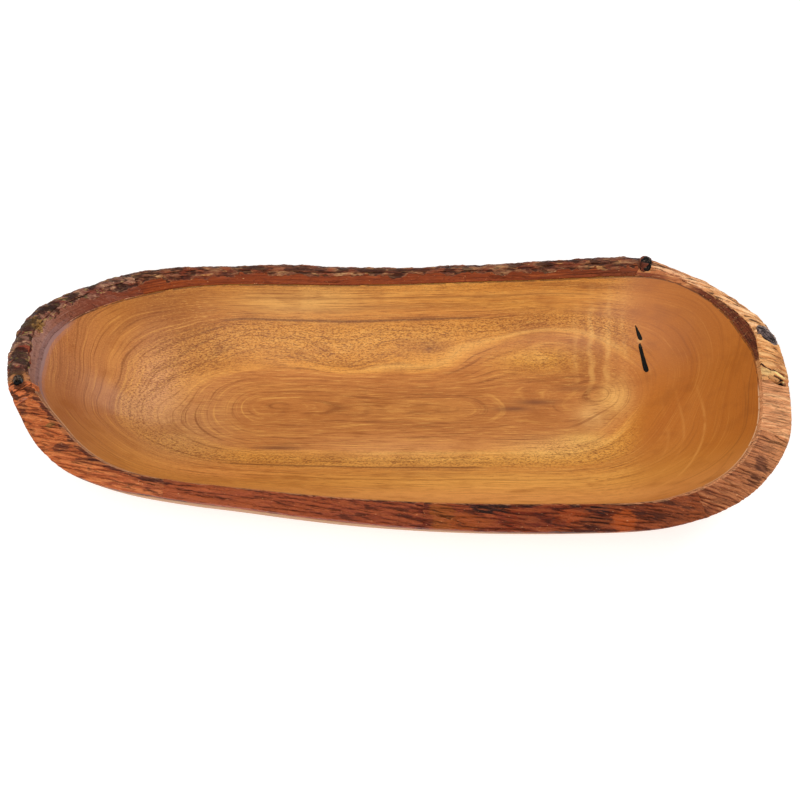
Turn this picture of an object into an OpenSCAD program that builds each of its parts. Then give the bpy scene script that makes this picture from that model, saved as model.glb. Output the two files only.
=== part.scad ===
// Natural-edge dough bowl, carved into the bark side of a split log.
// X runs along the log, Z is up, and the origin is the centre of the flat foot.
// Every piece is lofted from sections taken at stations round the rim, so that
// bark, crust and wood share the faces at which they meet.

/* [Hollow] */
// Length of the hollow at the rim's inner edge
hollow_len = 520; // [420:10:620]
// Width of the hollow at the rim's inner edge
hollow_wid = 206; // [170:2:240]
// Height of the rim's inner edge above the table, along the sides
rim_h = 78; // [66:1:96]
// Wood left under the lowest point of the hollow
floor_t = 17; // [12:1:24]
// How much higher the rim stands at its two ends
end_rise = 4; // [0:1:10]
// Length of the trough line that the hollow's walls close in on
trough_len = 230; // [120:10:300]

/* [Outside] */
// Length of the flat foot
foot_len = 330; // [240:10:400]
// Width of the flat foot
foot_wid = 92; // [60:2:120]
// Steepness of the outer wall just under the bark, in degrees
wall_top_angle = 70; // [56:1:78]
// Steepness of the outer wall where it meets the foot, in degrees
wall_foot_angle = 16; // [10:1:30]

/* [Rim band] */
// Widest part of the band of bark, seen from above
band_w = 21; // [16:1:28]
// Fall of the band from its inner to its outer edge, along the sides
side_fall = 10; // [6:1:14]
// The same fall at the two ends
end_fall = 5; // [2:1:9]
// Height of the band's crown between its edges
band_crown = 1.2; // [0:0.2:3]

/* [Bark] */
// Thickest part of the inner bark where the hollow cuts it
bark_t = 11; // [8:0.5:14]
// Thickness of the inner bark at the band's outer edge
bark_edge_t = 5; // [3:0.5:7]
// Thickest part of the dark outer crust
crust_t = 5; // [3:0.5:7]
// Height of the lumps in the crust, as a share of its thickness
crust_lump_share = 0.35; // [0:0.05:0.4]
// Height of the ripples in the inner bark
bark_ripple = 0.5; // [0:0.1:0.8]

/* [Knots] */
// Length of the dead knot in the right end's band
right_knot_len = 20; // [12:1:22]
// Width of the same knot
right_knot_wid = 9; // [6:0.5:11]
// How far the same knot stands out of the band
right_knot_out = 4.2; // [3:0.2:5]
// Diameter of the branch stub at the end of the rear bark
rear_knot_d = 9; // [6:0.5:10]
// How far the same stub stands out of the band
rear_knot_out = 6; // [5:0.5:9]
// Diameter of the small knot at the front end of the left crust
left_knot_d = 7; // [5:0.5:9]
// Diameter of the rotted hole in its middle
left_knot_hole_d = 3; // [2:0.5:4]
// Depth of the same hole
left_knot_hole_depth = 4; // [2:0.5:6]
// Length of the pin knot in the hollow's rear wall
pin_knot_len = 7; // [5:1:12]
// Width of the same pin knot
pin_knot_wid = 3; // [2:0.2:5]
// How deep every knot is rooted below the face that it shows in
knot_root = 6; // [4:0.5:8]

/* [Crack] */
// Length of the lower, longer stretch of the filled crack
crack_long_len = 22; // [16:1:24]
// Widest part of the same stretch
crack_long_wid = 3.6; // [2.4:0.2:5]
// Length of the upper, shorter stretch
crack_short_len = 12; // [8:1:16]
// Widest part of the same stretch
crack_short_wid = 2.8; // [2:0.2:4]
// Depth of the resin in both stretches
crack_depth = 4; // [3:0.5:6]

/* [Hidden] */

// Inner edge of the rim, as shares of the hollow's half length and half width.
// The points go round anticlockwise from the right end.
rim_shares = [
    [1.000, -0.12], [0.995, 0.21], [0.985, 0.41], [0.935, 0.59], [0.855, 0.76],
    [0.760, 0.90], [0.645, 1.00], [0.460, 0.99], [0.260, 0.95], [0.040, 0.93],
    [-0.190, 0.93], [-0.400, 0.945], [-0.585, 0.94], [-0.725, 0.855], [-0.840, 0.745],
    [-0.930, 0.60], [-0.985, 0.42], [-1.000, 0.21], [-0.995, 0.02], [-0.960, -0.16],
    [-0.905, -0.35], [-0.840, -0.55], [-0.745, -0.71], [-0.615, -0.80], [-0.500, -0.84],
    [-0.385, -0.875], [-0.155, -0.94], [0.080, -0.98], [0.310, -0.995], [0.540, -0.995],
    [0.710, -0.97], [0.845, -0.845], [0.930, -0.67], [0.985, -0.41]
];
// Width of the band at the same points, as shares of band_w
band_shares = [
    0.95, 0.86, 0.60, 0.54, 0.56, 0.58, 0.56, 0.42, 0.52, 0.44, 0.52, 0.46,
    0.38, 0.56, 0.46, 0.58, 0.60, 0.70, 0.76, 0.84, 1.02, 0.90, 0.56, 0.42,
    0.44, 0.48, 0.60, 0.70, 0.77, 0.78, 0.80, 0.89, 0.97, 1.04
];
// Thickness of the inner bark at the hollow's edge, as shares of bark_t
bark_shares = [
    0.26, 0.32, 0.74, 0.52, 0.28, 0.30, 0.80, 0.90, 0.76, 0.78, 0.86, 0.90,
    1.00, 1.00, 1.00, 1.00, 1.00, 0.96, 0.72, 0.30, 0.30, 0.32, 0.36, 0.42,
    0.46, 0.50, 0.50, 0.50, 0.50, 0.50, 0.44, 0.36, 0.30, 0.26
];
// Thickness of the outer crust at the same points, as shares of crust_t
crust_shares = [
    0.50, 0.50, 0.50, 0.45, 0.45, 0.55, 0.90, 0.75, 0.60, 0.60, 0.70, 0.70,
    0.70, 0.80, 0.90, 1.00, 1.00, 1.00, 0.95, 0.70, 0.60, 0.60, 0.60, 0.60,
    0.6, 0.6, 0.6, 0.6, 0.6, 0.6, 0.6, 0.6, 0.6, 0.6
];
// Thickness of the crust across the band, inner edge first, as shares
feather_shares = [0.28, 0.80, 1.00, 0.95, 0.65];
// Lumps and ripples fade out towards the band's two edges, as shares
lump_shares = [0.15, 0.90, 1.00, 1.00, 0.60];
// Waves that roughen the bark: turns per mark, turns from point to point across the
// band, and height, as shares
wave_shares = [[0.586, 0, 0.46], [1.37, 0.83, 0.32], [2.38, -1.39, 0.22]];

marks = len(rim_shares);
steps = 3;
stations = marks * steps;
across = 4;
hollow_rings = 9;
shell_rings = 7;
wall_power = 3;
rise_power = 4;
heart_share = 0.12;
slope_probe = 0.02;

// Where each stretch of bark starts and ends, as shares of the points round the rim
rear_shares = [17 / 3, 13] / marks;
left_shares = [13, 56 / 3] / marks;
left_crust_shares = [13, 55 / 3] / marks;
left_front_shares = [56 / 3, 23] / marks;
front_left_shares = [23, 27] / marks;
front_right_shares = [27, 92 / 3] / marks;
right_front_shares = [92 / 3, 33] / marks;
right_end_shares = [33, 103 / 3] / marks;
right_side_shares = [1 / 3, 5 / 3] / marks;
right_rear_shares = [5 / 3, 17 / 3] / marks;

// Places on the band, as shares of the points round the rim and of the band's width
right_knot_shares = [1.64 / marks, 0.52];
right_knot_turn = -56;
rear_knot_shares = [5.60 / marks, 0.22];
left_knot_shares = [18.1 / marks, 0.45];
// How much of the band's slope each knot leans by
rear_knot_lean_share = 0.3;
full_lean_share = 1;
// Places on the hollow's wall, as shares of the points round the rim and of the way up
// from the trough line. Each pair gives a start and the direction from it.
pin_knot_shares = [[8.62 / marks, 0.62], [8.62 / marks, 0.66]];
crack_long_line_shares = [[3.35 / marks, 0.60], [4.38 / marks, 0.71]];
crack_short_line_shares = [[4.41 / marks, 0.725], [4.90 / marks, 0.78]];
overrun = 20;

// Half the width of each stretch of crack along its length, as shares
crack_long_shares = [
    [0.00, 0.35], [0.08, 0.90], [0.25, 0.95], [0.60, 0.75], [0.90, 0.70], [1.00, 0.20],
    [1.00, -0.40], [0.85, -0.70], [0.55, -0.75], [0.20, -1.00], [0.06, -1.10], [0.00, -0.70]
];
crack_short_shares = [
    [0.00, 0.30], [0.12, 0.95], [0.35, 1.00], [0.70, 0.60], [1.00, 0.15],
    [1.00, -0.25], [0.65, -0.65], [0.30, -0.95], [0.05, -0.90], [0.00, -0.40]
];

// Value of a closed list at place s, on a smooth curve through its entries
function blend(a, b, c, d, t) =
    (2 * b + (c - a) * t + (2 * a - 5 * b + 4 * c - d) * t * t
     + (3 * b - a - 3 * c + d) * t * t * t) / 2;
function pick(list, i) = let (n = len(list)) list[(i % n + n) % n];
function along(list, s) =
    let (i = floor(s))
    blend(pick(list, i - 1), pick(list, i), pick(list, i + 1), pick(list, i + 2), s - i);
function mix(a, b, t) = a + (b - a) * t;
function wave(s, v) =
    [for (w = wave_shares) w[2]] * [for (w = wave_shares) sin(360 * (w[0] * s + w[1] * v))];

// The rim's inner edge in plan, and the direction straight out of it
function edge(s) = let (p = along(rim_shares, s)) [p.x * hollow_len / 2, p.y * hollow_wid / 2];
function outward(s) =
    let (d = edge(s + slope_probe) - edge(s - slope_probe)) [d.y, -d.x] / norm(d);
function rim_z(s) = rim_h + end_rise * pow(abs(along(rim_shares, s).x), rise_power);
function fall(s) = let (n = outward(s)) end_fall + (side_fall - end_fall) * n.y * n.y;

// Edges of the band's top: the inner one at the hollow, the outer one at the shell
function band_in(s) = let (p = edge(s)) [p.x, p.y, rim_z(s)];
function band_out(s) =
    let (p = edge(s) + outward(s) * band_w * along(band_shares, s)) [p.x, p.y, rim_z(s) - fall(s)];

// The hollow's wall: share 1 is the rim's inner edge and 0 the trough line
function hollow(s, share) =
    let (p = edge(s), trough = [p.x * trough_len / hollow_len, 0], q = mix(trough, p, share))
    [q.x, q.y, floor_t + (rim_z(s) - floor_t) * pow(share, wall_power)];
function wood_share(s) =
    pow(1 - along(bark_shares, s) * bark_t / (rim_z(s) - floor_t), 1 / wall_power);

// The outer wall, from its steepest angle at the bark to its flattest at the foot
function shell(s, angle) =
    let (top = band_out(s), p = along(rim_shares, s), phi = atan2(p.y, p.x),
         foot = [cos(phi) * foot_len / 2, sin(phi) * foot_wid / 2],
         inward = (sin(wall_top_angle) - sin(angle)) / (sin(wall_top_angle) - sin(wall_foot_angle)),
         drop = (cos(angle) - cos(wall_top_angle)) / (cos(wall_foot_angle) - cos(wall_top_angle)))
    [mix(top.x, foot.x, inward), mix(top.y, foot.y, inward), top.z * (1 - drop)];
function bark_angle(s) =
    acos(mix(cos(wall_top_angle), cos(wall_foot_angle), bark_edge_t / band_out(s).z));

function crown(k) = band_crown * 4 * (k / across) * (1 - k / across);
// Rows of points across the band: the wood under the bark, the bark's top and the crust's top
function wood_row(s) =
    let (a = hollow(s, wood_share(s)), b = shell(s, bark_angle(s)))
    [for (k = [0:across]) mix(a, b, k / across) + [0, 0, crown(k)]];
function bark_row(s) =
    let (a = band_in(s), b = band_out(s))
    [for (k = [0:across])
        mix(a, b, k / across)
        + [0, 0, crown(k) + bark_ripple * lump_shares[k] * wave(s, k)]];
function crust_row(s) =
    let (b = bark_row(s), t = crust_t * along(crust_shares, s))
    [for (k = [0:across])
        b[k] + [0, 0, t * (feather_shares[k] + crust_lump_share * lump_shares[k] * wave(s + 7, k))]];
function backwards(list) = [for (i = [len(list) - 1:-1:0]) list[i]];

// Faces between neighbouring sections of n points, each ring of them closed if loop is true
function strip(i, j, n, loop, flip) = [
    for (m = [0:(loop ? n - 1 : n - 2)])
        let (a = i * n + m, b = j * n + m, c = j * n + (m + 1) % n, d = i * n + (m + 1) % n)
        each flip ? [[a, b, c], [a, c, d]] : [[a, c, b], [a, d, c]]
];
// Faces that close the end of a section whose two rows of points face each other
function cap(i, n, flip) = [
    for (k = [0:n / 2 - 2])
        let (a = i * n + k, b = i * n + k + 1, c = i * n + n - 2 - k, d = i * n + n - 1 - k)
        each flip ? [[a, b, c], [a, c, d]] : [[a, c, b], [a, d, c]]
];

// A solid through the sections of one stretch of bark, closed at both ends
module stretch_of(sections, flip) {
    n = len(sections[0]);
    last = len(sections) - 1;
    polyhedron(
        points = [for (section = sections) each section],
        faces = concat(
            [for (i = [0:last - 1]) each strip(i, i + 1, n, true, flip)],
            cap(0, n, flip),
            cap(last, n, !flip)
        ),
        convexity = 6
    );
}
function span_stations(span) =
    [for (i = [round(span[0] * stations):round(span[1] * stations)]) i / steps];
module inner_bark(span) {
    stretch_of(
        [for (s = span_stations(span)) concat(bark_row(s), backwards(wood_row(s)))],
        true
    );
}
module crust(span) {
    stretch_of(
        [for (s = span_stations(span)) concat(bark_row(s), backwards(crust_row(s)))],
        false
    );
}

// One section of the wood, from the foot's edge over the rim and down to the trough
function body_section(s) =
    let (top_angle = bark_angle(s), share = wood_share(s))
    concat(
        [for (j = [0:shell_rings - 1]) shell(s, mix(wall_foot_angle, top_angle, j / shell_rings))],
        backwards(wood_row(s)),
        [for (j = [1:hollow_rings]) hollow(s, mix(share, heart_share, j / hollow_rings))]
    );

// The wood before any knot or crack is let into it
module carved_blank() {
    sections = [for (i = [0:stations - 1]) body_section(i / steps)];
    n = len(sections[0]);
    foot_pole = stations * n;
    trough_pole = foot_pole + 1;
    polyhedron(
        points = concat([for (section = sections) each section], [[0, 0, 0], [0, 0, floor_t]]),
        faces = concat(
            [for (i = [0:stations - 1]) each strip(i, (i + 1) % stations, n, false, false)],
            [for (i = [0:stations - 1]) [foot_pole, i * n, ((i + 1) % stations) * n]],
            [for (i = [0:stations - 1])
                [trough_pole, ((i + 1) % stations) * n + n - 1, i * n + n - 1]]
        ),
        convexity = 6
    );
}

// An oval outline of the given length and width
function oval(len, wid) = [for (a = [0:20:340]) [cos(a) * len / 2, sin(a) * wid / 2]];

// A frame on the band: x runs straight out of the rim, and z leans out with the band
module on_band(place, lean) {
    s = place[0] * marks;
    a = band_in(s);
    b = band_out(s);
    n = outward(s);
    slope = atan2(a.z - b.z, norm([b.x - a.x, b.y - a.y]));
    translate(mix(a, b, place[1]))
        rotate([0, lean * slope, atan2(n.y, n.x)])
            children();
}
// A frame on the hollow's wall: x runs along the line and z stands square to it
module on_wall(line) {
    a = hollow(line[0][0] * marks, line[0][1]);
    d = hollow(line[1][0] * marks, line[1][1]) - a;
    translate(a)
        rotate([0, -asin(d.z / norm(d)), atan2(d.y, d.x)])
            children();
}

// What is let into the wood and the bark
module right_knot_plug(top) {
    on_band(right_knot_shares, full_lean_share)
        translate([0, 0, -knot_root])
            rotate([0, 0, right_knot_turn])
                linear_extrude(knot_root + top)
                    polygon(oval(right_knot_len, right_knot_wid));
}
module rear_knot_plug(top) {
    on_band(rear_knot_shares, rear_knot_lean_share)
        translate([0, 0, -knot_root])
            cylinder(d = rear_knot_d, h = knot_root + top, $fn = 48);
}
module left_knot_plug(top) {
    on_band(left_knot_shares, full_lean_share)
        translate([0, 0, -knot_root])
            cylinder(d = left_knot_d, h = knot_root + top, $fn = 48);
}
module pin_knot_plug() {
    on_wall(pin_knot_shares)
        translate([0, 0, -knot_root])
            linear_extrude(knot_root + overrun)
                polygon(oval(pin_knot_wid, pin_knot_len));
}
module crack_plug(line, outline, len, wid) {
    on_wall(line)
        translate([0, 0, -crack_depth])
            linear_extrude(crack_depth + overrun)
                polygon([for (p = outline) [p.x * len, p.y * wid / 2]]);
}
module crack_long_plug() {
    crack_plug(crack_long_line_shares, crack_long_shares, crack_long_len, crack_long_wid);
}
module crack_short_plug() {
    crack_plug(crack_short_line_shares, crack_short_shares, crack_short_len, crack_short_wid);
}

module bowl_body() {
    color("peru")
        difference() {
            carved_blank();
            crack_long_plug();
            crack_short_plug();
            pin_knot_plug();
            right_knot_plug(overrun);
            rear_knot_plug(overrun);
            left_knot_plug(overrun);
        }
}
module rear_inner_bark() {
    color("#6e3626")
        difference() {
            inner_bark(rear_shares);
            rear_knot_plug(overrun);
        }
}
module rear_crust() {
    color("#3a2a22")
        difference() {
            crust(rear_shares);
            rear_knot_plug(overrun);
        }
}
module left_inner_bark() {
    color("#8a6a68")
        difference() {
            inner_bark(left_shares);
            left_knot_plug(overrun);
        }
}
module left_crust() {
    color("#40332a")
        difference() {
            crust(left_crust_shares);
            left_knot_plug(overrun);
        }
}
module left_front_bark() {
    color("#b0603a") inner_bark(left_front_shares);
}
module front_left_bark() {
    color("#8c4630") inner_bark(front_left_shares);
}
module front_right_bark() {
    color("#7a3c28") inner_bark(front_right_shares);
}
module right_front_bark() {
    color("#8a5238") inner_bark(right_front_shares);
}
module right_end_bark() {
    color("#b07850") inner_bark(right_end_shares);
}
module right_inner_bark() {
    color("#4a2a20")
        difference() {
            inner_bark([right_side_shares[0], right_rear_shares[1]]);
            right_knot_plug(overrun);
            rear_knot_plug(overrun);
        }
}
module right_side_bark() {
    color("#c08a5c")
        difference() {
            crust(right_side_shares);
            right_knot_plug(overrun);
        }
}
module right_rear_bark() {
    color("#c79460")
        difference() {
            crust(right_rear_shares);
            right_knot_plug(overrun);
            rear_knot_plug(overrun);
        }
}
module rear_knot() {
    color("#2b2623") rear_knot_plug(rear_knot_out);
}
module right_knot() {
    color("#6b5f60") right_knot_plug(right_knot_out);
}
module left_knot() {
    color("#3c3d40")
        difference() {
            left_knot_plug(crust_t);
            on_band(left_knot_shares, full_lean_share)
                translate([0, 0, crust_t - left_knot_hole_depth])
                    cylinder(d = left_knot_hole_d, h = left_knot_hole_depth + overrun, $fn = 32);
        }
}
module pin_knot() {
    color("#6a3c1c")
        intersection() {
            carved_blank();
            pin_knot_plug();
        }
}
module crack_fill_long() {
    color("#1d1c19")
        intersection() {
            carved_blank();
            crack_long_plug();
        }
}
module crack_fill_short() {
    color("#24221e")
        intersection() {
            carved_blank();
            crack_short_plug();
        }
}

bowl_body();
rear_inner_bark();
rear_crust();
left_inner_bark();
left_crust();
left_front_bark();
front_left_bark();
front_right_bark();
right_front_bark();
right_end_bark();
right_inner_bark();
right_side_bark();
right_rear_bark();
rear_knot();
right_knot();
left_knot();
pin_knot();
crack_fill_long();
crack_fill_short();
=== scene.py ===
# %% [markdown]
# # A dough bowl with a natural bark rim
#
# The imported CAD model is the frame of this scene: the wood, every stretch of bark, the knots and
# the filled crack are already there, in place and at their real size. This lesson dresses them.
# Bark is weathered with displacement, wood gets its growth rings from a small piece of maths,
# and nothing is read from any picture.

# %% The frame
import math

import bpy
from mathutils import Matrix, Vector, noise
from mathutils.bvhtree import BVHTree


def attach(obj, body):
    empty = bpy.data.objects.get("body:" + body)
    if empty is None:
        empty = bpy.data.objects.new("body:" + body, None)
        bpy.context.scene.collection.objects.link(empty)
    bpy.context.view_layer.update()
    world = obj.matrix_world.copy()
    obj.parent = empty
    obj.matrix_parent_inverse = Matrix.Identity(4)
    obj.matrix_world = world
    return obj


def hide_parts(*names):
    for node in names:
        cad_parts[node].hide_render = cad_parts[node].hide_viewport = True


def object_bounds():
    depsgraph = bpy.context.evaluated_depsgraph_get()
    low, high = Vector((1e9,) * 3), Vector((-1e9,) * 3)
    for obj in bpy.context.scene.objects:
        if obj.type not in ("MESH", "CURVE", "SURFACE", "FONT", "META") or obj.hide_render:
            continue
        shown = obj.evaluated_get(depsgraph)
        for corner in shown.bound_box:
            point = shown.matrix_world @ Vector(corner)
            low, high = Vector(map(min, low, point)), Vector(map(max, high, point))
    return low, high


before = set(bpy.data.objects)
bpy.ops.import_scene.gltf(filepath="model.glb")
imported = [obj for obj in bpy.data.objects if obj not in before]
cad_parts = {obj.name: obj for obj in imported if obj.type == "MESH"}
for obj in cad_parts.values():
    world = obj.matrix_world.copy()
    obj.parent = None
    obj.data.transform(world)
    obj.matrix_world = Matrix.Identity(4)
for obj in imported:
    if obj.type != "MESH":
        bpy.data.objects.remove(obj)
cad_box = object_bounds()
MM = 0.001
print("CAD box in mm:", [[round(v / MM, 1) for v in corner] for corner in cad_box])

# %% [markdown]
# ## Working on copies
#
# A CAD node is never changed, so each piece starts as a copy of its node. The copy's triangles
# are loose, so its doubles are merged and its triangles paired into quads before anything else.
# Subdivision then follows the long flow of the rim instead of the diagonals.

# %% Selecting and copying
SAME_POINT = 0.002 * MM  # points closer than this are one
QUAD_BEND, QUAD_SKEW = 1.2, 1.6  # how far a pair of triangles may bend and skew, in radians


def only(piece):
    """Selects one piece alone and makes it the active one."""
    bpy.ops.object.select_all(action="DESELECT")
    piece.select_set(True)
    bpy.context.view_layer.objects.active = piece


def pair_triangles():
    """Makes quads of the selected triangles, where they pair up."""
    bpy.ops.mesh.tris_convert_to_quads(face_threshold=QUAD_BEND, shape_threshold=QUAD_SKEW)


def copy_of(node, name):
    """A copy of a CAD node as one closed mesh of quads, where its triangles pair up."""
    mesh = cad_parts[node].data.copy()
    mesh.name = name
    mesh.materials.clear()
    piece = bpy.data.objects.new(name, mesh)
    bpy.context.scene.collection.objects.link(piece)
    only(piece)
    bpy.ops.object.mode_set(mode="EDIT")
    bpy.ops.mesh.select_all(action="SELECT")
    bpy.ops.mesh.remove_doubles(threshold=SAME_POINT)
    bpy.ops.mesh.customdata_custom_splitnormals_clear()
    pair_triangles()
    bpy.ops.object.mode_set(mode="OBJECT")
    return piece


# %% Modifiers and creases
def modify(piece, kind, **settings):
    """Adds one modifier with these settings and applies it."""
    only(piece)
    modifier = piece.modifiers.new(kind.title(), kind)
    for key, value in settings.items():
        setattr(modifier, key, value)
    bpy.ops.object.modifier_apply(modifier=modifier.name)


def subdivide(piece):
    """Curves a piece, as far as its creases let it."""
    modify(piece, "SUBSURF", levels=2, render_levels=2)


def crease_sharp(piece, angle):
    """Marks the edges that turn by more than angle, so that subdivision keeps them."""
    only(piece)
    bpy.ops.object.mode_set(mode="EDIT")
    bpy.ops.mesh.select_mode(type="EDGE")
    bpy.ops.mesh.select_all(action="DESELECT")
    bpy.ops.mesh.edges_select_sharp(sharpness=angle)
    bpy.ops.transform.edge_crease(value=1.0)
    bpy.ops.object.mode_set(mode="OBJECT")


def report(piece):
    """Prints how many faces a piece has, and its size."""
    size = [round(v / MM, 1) for v in piece.dimensions]
    print(f"{piece.name}: {len(piece.data.polygons)} faces, {size} mm")


# %% [markdown]
# ## The wood
#
# The bowl itself is one piece of wood. In CAD its crack and its knots are cut out of it. A
# smooth, lacquered wall looks best on an even net of quads, so the fillings are first joined
# back into the copy, the seams that they leave in flat facets are dissolved, and the net is
# subdivided with its sharp rims creased.

# %% The wood, with its pockets closed
FLAT_TURN = math.radians(0.4)  # a seam that turns less than this is dissolved
SAME_CORNER = 0.01 * MM


def join_in(piece, node):
    """Joins a copy of a CAD node into the piece with an exact boolean."""
    filling = copy_of(node, "filling")
    modify(piece, "BOOLEAN", operation="UNION", object=filling, solver="EXACT")
    bpy.data.objects.remove(filling)


wood = copy_of("bowl_body", "wood")
for node in ("crack_fill_long", "crack_fill_short", "pin_knot"):
    join_in(wood, node)
only(wood)
bpy.ops.object.mode_set(mode="EDIT")
bpy.ops.mesh.select_all(action="SELECT")
bpy.ops.mesh.dissolve_limited(angle_limit=FLAT_TURN, use_dissolve_boundaries=False)
bpy.ops.mesh.select_all(action="SELECT")
bpy.ops.mesh.remove_doubles(threshold=SAME_CORNER)
bpy.ops.mesh.quads_convert_to_tris()
pair_triangles()
bpy.ops.object.mode_set(mode="OBJECT")
report(wood)

# %% The wood's creases and curves
RIM_TURN, SMOOTH_TURN = math.radians(40), math.radians(35)
ON_TABLE = 0.001 * MM  # a face whose points lie lower than this is the foot


def pick_faces(piece, wanted):
    """Leaves the piece in edit mode, with just the wanted faces selected."""
    only(piece)
    bpy.ops.object.mode_set(mode="EDIT")
    bpy.ops.mesh.select_mode(type="FACE")
    bpy.ops.mesh.select_all(action="DESELECT")
    bpy.ops.object.mode_set(mode="OBJECT")
    for face in piece.data.polygons:
        face.select = wanted(face)
    bpy.ops.object.mode_set(mode="EDIT")


crease_sharp(wood, RIM_TURN)
pick_faces(wood, lambda face: all(wood.data.vertices[i].co.z < ON_TABLE for i in face.vertices))
bpy.ops.mesh.region_to_loop()
bpy.ops.transform.edge_crease(value=1.0)
bpy.ops.object.mode_set(mode="OBJECT")
subdivide(wood)
bpy.ops.object.shade_smooth_by_angle(angle=SMOOTH_TURN)
report(wood)

# %% [markdown]
# ## Bark
#
# Bark could be sculpted by hand, or wrapped on as a picture. Here each stretch is grown from its
# own solid, so that it keeps its place: the copy is drawn out a little at both ends to run into
# its neighbour, subdivided so that it follows the rim in a curve, and remeshed into small even
# faces, so that a displacement has something to move.

# %% Drawing out the ends of a stretch
wood_tree = BVHTree.FromObject(wood, bpy.context.evaluated_depsgraph_get())
TROUGH_END = 115 * MM
END_FACING = 0.8  # a face this square to the rim's direction may be an end
END_REACH, END_FLAT = 25 * MM, 0.05 * MM  # nothing within reach of an end stands out further
OVERLAP = 0.9 * MM


def inward(point):
    """The level direction from a point of the rim towards the hollow's trough."""
    trough = Vector((max(-TROUGH_END, min(TROUGH_END, point.x)), 0, 0))
    return (trough - Vector((point.x, point.y, 0))).normalized()


def lengthen(piece):
    """Draws both ends of a stretch out along the rim."""
    mesh = piece.data

    def at_end(face, turn):
        if face.normal.dot(inward(face.center).cross(Vector((0, 0, turn)))) < END_FACING:
            return False
        near = [v.co for v in mesh.vertices if (v.co - face.center).length < END_REACH]
        return all((co - face.center).dot(face.normal) < END_FLAT for co in near)

    for turn in (1, -1):
        pick_faces(piece, lambda face: at_end(face, turn))
        bpy.ops.object.mode_set(mode="OBJECT")
        chosen = [face for face in mesh.polygons if face.select]
        if chosen:
            outward = sum((face.normal * face.area for face in chosen), Vector())
            push = outward.normalized() * OVERLAP
            bpy.ops.object.mode_set(mode="EDIT")
            bpy.ops.mesh.extrude_region_move(TRANSFORM_OT_translate={"value": push})
            bpy.ops.object.mode_set(mode="OBJECT")


# %% Growing a stretch
BARK_TURN = math.radians(38)
bark_trees = []


def bark(node, name, voxel):
    """An evenly meshed copy of one stretch of bark."""
    piece = copy_of(node, name)
    lengthen(piece)
    crease_sharp(piece, BARK_TURN)
    subdivide(piece)
    bark_trees.append(BVHTree.FromObject(piece, bpy.context.evaluated_depsgraph_get()))
    modify(piece, "REMESH", mode="VOXEL", voxel_size=voxel, use_smooth_shade=True)
    modify(piece, "SMOOTH", factor=0.5, iterations=2)
    return piece


# %% [markdown]
# ## Where bark weathers
#
# A tool has cut the bark smooth on its inner side, and everywhere else it is as the tree left
# it. So each point gets a weight: all of the weathering on the natural face, a tenth of it where
# the hollow has cut through, and more again where the cut runs out into the dark outer crust.
# Noise makes the crust's edge ragged.

# %% Weights for weathering
RAGGED = [(3.4, 10 * MM), (1.6, 3 * MM)]  # how far the edge strays in mm, and over what length
BORDER = 0.9  # mm over which the crust thins out
CUT_FACING, CUT_RANGE = 0.35, 0.25  # a face this square to the hollow starts to count as cut
CUT_SHARE, CRUST_SHARE = 0.1, 0.6  # the weathering that a cut keeps, and what crust adds there


def keep(piece, name, values):
    """Keeps one number for each point, for the materials to read."""
    piece.data.attributes.new(name, "FLOAT", "POINT").data.foreach_set("value", values)


def crusted(point, edge):
    """1 where the dark crust lies, 0 well inside its edge, with a ragged border between them."""
    strayed = sum(far * noise.noise(point / length) for far, length in RAGGED)
    depth = wood_tree.find_nearest(point)[3] / MM
    return min(1.0, max(0.0, (depth + strayed - edge) / BORDER + 0.5))


def rough_group(piece, crust_edge):
    """The group that displacement moves, and how far the crust covers each point."""
    covers = [crusted(v.co, crust_edge) if crust_edge else 0.0 for v in piece.data.vertices]
    group = piece.vertex_groups.new(name="rough")
    for vertex, cover in zip(piece.data.vertices, covers):
        facing = vertex.normal.dot(inward(vertex.co))
        under = max(0.0, -vertex.normal.z)
        cut = min(1.0, max(0.0, (facing - CUT_FACING) / CUT_RANGE))
        kept = CUT_SHARE + CRUST_SHARE * cover
        group.add([vertex.index], (1 - cut + cut * kept) * (1 - under), "REPLACE")
    keep(piece, "crust", covers)


# %% [markdown]
# ## Relief along the fibres
#
# Bark cracks along the tree's fibres, and those run across the rim at a slant. A displacement
# reads its pattern in the coordinates of another object, so an empty stands in as a guide: it is
# turned to the fibres and stretched along them, and the pattern stretches with it.

# %% Patterns and their guide
LOOKS_UP = 0.3  # a normal that rises by more than this looks up


def pattern(kind, size, **settings):
    """A relief pattern whose features are about this size."""
    texture = bpy.data.textures.new(kind.lower(), kind)
    texture.noise_scale = size
    for key, value in settings.items():
        setattr(texture, key, value)
    return texture


def fibres(piece, slope):
    """Three directions: along the fibres, across them, and out of the bark. In plan, the fibres
    fall by this slope towards +X; in height, they follow the piece's own face."""
    upper = [face for face in piece.data.polygons if face.normal.z > LOOKS_UP]
    out = sum((face.normal * face.area for face in upper), Vector())
    out.normalize()
    along = Vector((1, -slope, (slope * out.y - out.x) / out.z)).normalized()
    return Matrix((along, out.cross(along), out))


def displace(piece, texture, height, grain, stretch=(1, 1, 1), direction="NORMAL", middle=0.5):
    """Moves the rough points by the pattern, stretched and turned with a guide."""
    guide = bpy.data.objects.new("guide", None)
    bpy.context.scene.collection.objects.link(guide)
    guide.matrix_world = (grain.transposed() @ Matrix.Diagonal(stretch)).to_4x4()
    bpy.context.view_layer.update()
    modify(piece, "DISPLACE", texture=texture, texture_coords="OBJECT", texture_coords_object=guide,
           strength=height, mid_level=middle, direction=direction, vertex_group="rough")
    bpy.data.objects.remove(guide)


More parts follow.
